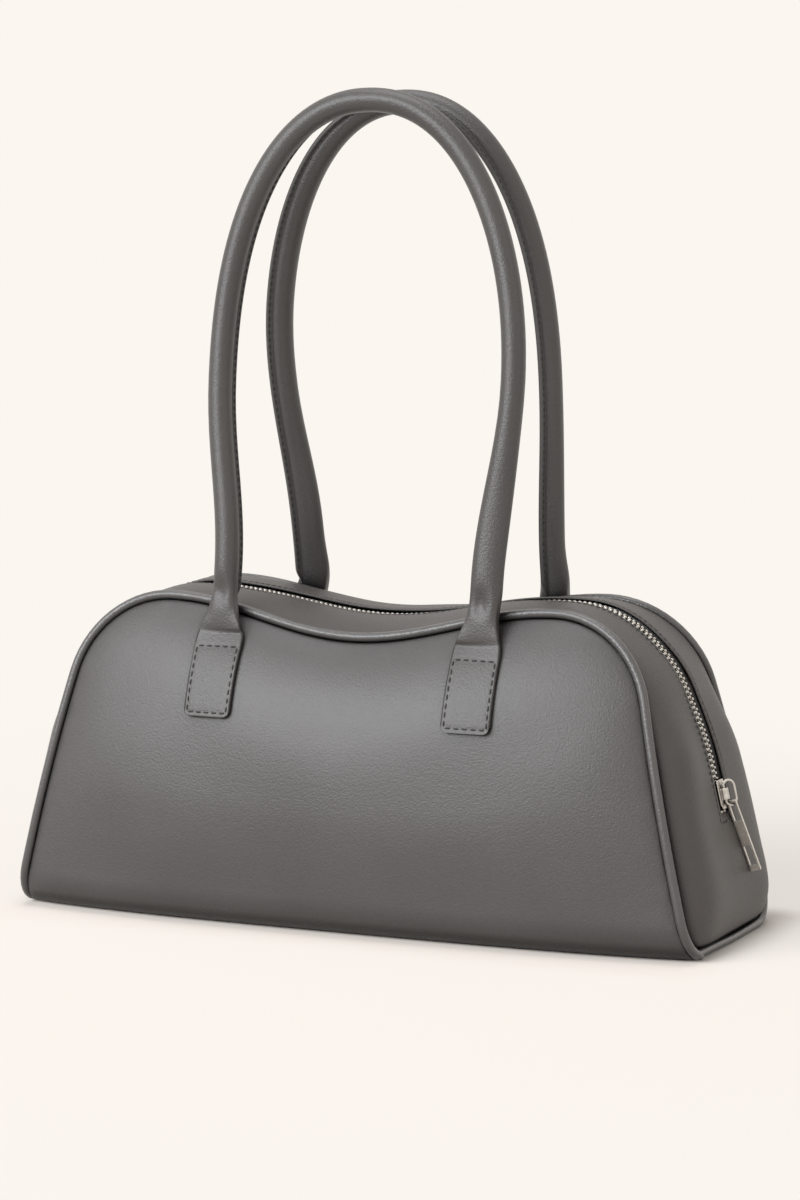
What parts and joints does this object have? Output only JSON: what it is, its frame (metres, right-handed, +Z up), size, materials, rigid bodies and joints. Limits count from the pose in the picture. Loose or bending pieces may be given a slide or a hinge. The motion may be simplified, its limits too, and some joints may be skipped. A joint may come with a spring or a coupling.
{
  "type": "handbag",
  "caption": "Long zip-top shoulder bag in padded leather with a curved top, piped edges, a stiff base, two rolled handles on stitched tabs and a metal zip with a ring and pull.",
  "frame": {"origin": "middle of the base, on the floor", "axes": "+X along the bag to the end where the closed zip's slider is, +Y to the back, +Z up"},
  "size_m": [0.3544, 0.138, 0.3876],
  "materials": {
    "leather": "smooth, satin, dark grey",
    "lining": "plain woven, dark",
    "foam": "soft padding",
    "board": "stiff board, matt",
    "metal": "bright nickel plate",
    "tape": "black woven tape",
    "cord": "soft cord"
  },
  "bodies": {
    "bag": {"front_panel": "leather", "back_panel": "leather", "base_panel": "leather", "gusset": "leather", "piping": "leather", "foam_front": "foam", "foam_back": "foam", "base_board": "board", "lining_front": "lining", "lining_back": "lining", "lining_gusset": "lining", "lining_base": "lining", "zip_tape_front": "tape", "zip_tape_rear": "tape", "zip_teeth_front": "metal", "zip_teeth_rear": "metal", "zip_top_stops": "metal", "zip_bottom_stop": "metal", "tab_front_left": "leather", "tab_front_right": "leather", "tab_rear_left": "leather", "tab_rear_right": "leather"},
    "front_handle": {"handle_front": "leather", "handle_cord_front": "cord"},
    "rear_handle": {"handle_rear": "leather", "handle_cord_rear": "cord"},
    "slider": {"zip_slider": "metal"},
    "ring": {"slider_ring": "metal"},
    "pull": {"zip_pull": "metal"}
  },
  "joints": [
    {"name": "front_handle_fold", "type": "hinge", "parent": "bag", "child": "front_handle", "pos_m": [0, -0.04718, 0.137], "axis": [1, 0, 0], "range_deg": [0, 135]},
    {"name": "rear_handle_fold", "type": "hinge", "parent": "bag", "child": "rear_handle", "pos_m": [0, 0.04718, 0.137], "axis": [-1, 0, 0], "range_deg": [0, 135]},
    {"name": "slider_travel", "type": "slide", "parent": "bag", "child": "slider", "axis": [-0.225, 0, 0.9744], "range_m": [0, 0.0095]},
    {"name": "ring_turn", "type": "hinge", "parent": "slider", "child": "ring", "pos_m": [0.1665, 0, 0.06871], "axis": [0.225, 0, -0.9744], "range_deg": [0, 100]},
    {"name": "pull_swing", "type": "hinge", "parent": "ring", "child": "pull", "pos_m": [0.16916, 0.00261, 0.06501], "axis": [-0.9744, 0, -0.225], "range_deg": [0, 20]}
  ]
}
